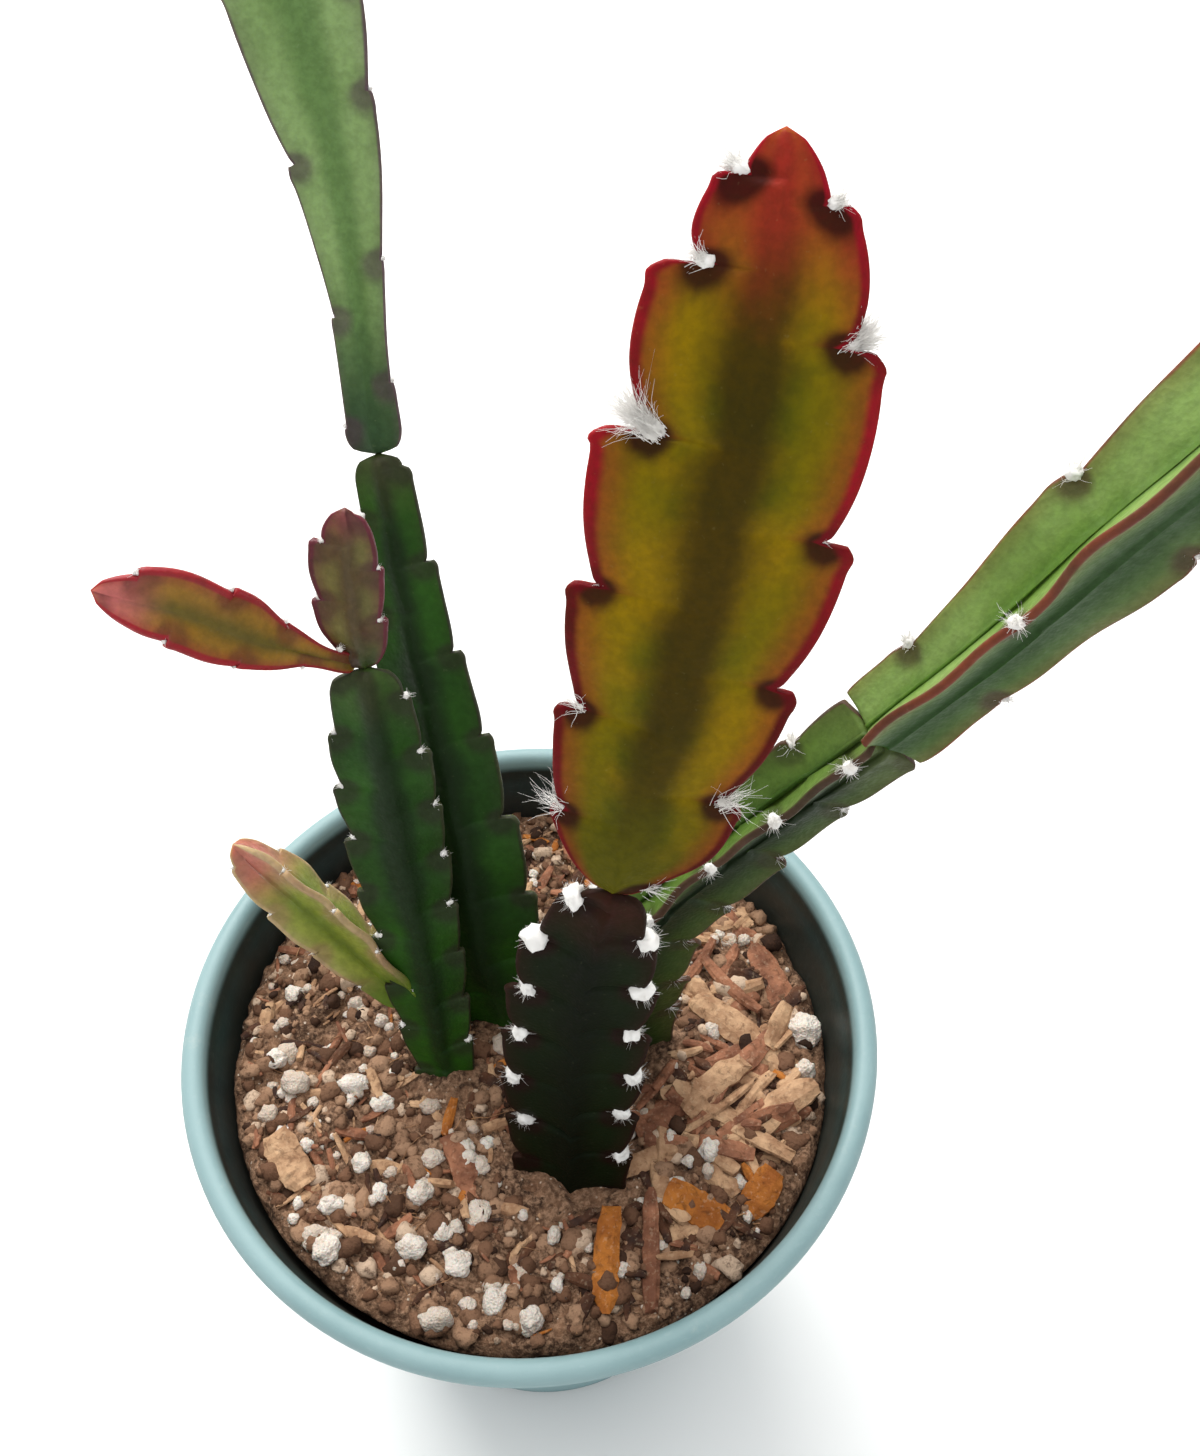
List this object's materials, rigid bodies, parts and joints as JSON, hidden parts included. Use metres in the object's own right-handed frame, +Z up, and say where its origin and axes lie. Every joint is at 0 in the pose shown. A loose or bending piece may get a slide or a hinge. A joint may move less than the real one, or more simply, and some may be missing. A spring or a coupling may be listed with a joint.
{
  "type": "potted cactus",
  "caption": "Leaning flat and three-winged cactus stems with scalloped edges, growing from a bark and perlite mix in a small round tapered nursery pot.",
  "frame": {"origin": "centre of the pot's flat underside, on the surface it stands on", "axes": "+Z up through the middle of the pot; -Y is the front, the side the broad young stem stands on; +X is the side the long three-winged stem leans towards"},
  "size_m": [0.1353, 0.1385, 0.2269],
  "materials": {
    "pot_plastic": "satin",
    "potting_mix": "matte",
    "mature_stem": "satin",
    "young_stem": "satin",
    "pale_stem": "satin",
    "bark": "matte",
    "perlite": "matte"
  },
  "bodies": {
    "root": {"pot": "pot_plastic", "potting_mix": "potting_mix", "front_lower_segment": "mature_stem", "front_upper_segment": "young_stem", "tall_lower_segment": "mature_stem", "tall_upper_segment": "pale_stem", "short_lower_segment": "mature_stem", "short_upper_segment": "young_stem", "red_side_shoot": "young_stem", "basal_shoot": "pale_stem", "right_lower_segment": "mature_stem", "right_upper_segment": "pale_stem", "bark_chip_01": "bark", "bark_chip_02": "bark", "bark_chip_03": "bark", "bark_chip_04": "bark", "bark_chip_05": "bark", "bark_chip_06": "bark", "bark_chip_07": "bark", "bark_chip_08": "bark", "bark_chip_09": "bark", "bark_chip_10": "bark", "bark_chip_11": "bark", "bark_chip_12": "bark", "perlite_01": "perlite", "perlite_02": "perlite", "perlite_03": "perlite", "perlite_04": "perlite", "perlite_05": "perlite", "perlite_06": "perlite", "perlite_07": "perlite", "perlite_08": "perlite", "perlite_09": "perlite", "perlite_10": "perlite", "perlite_11": "perlite", "perlite_12": "perlite"}
  },
  "joints": []
}
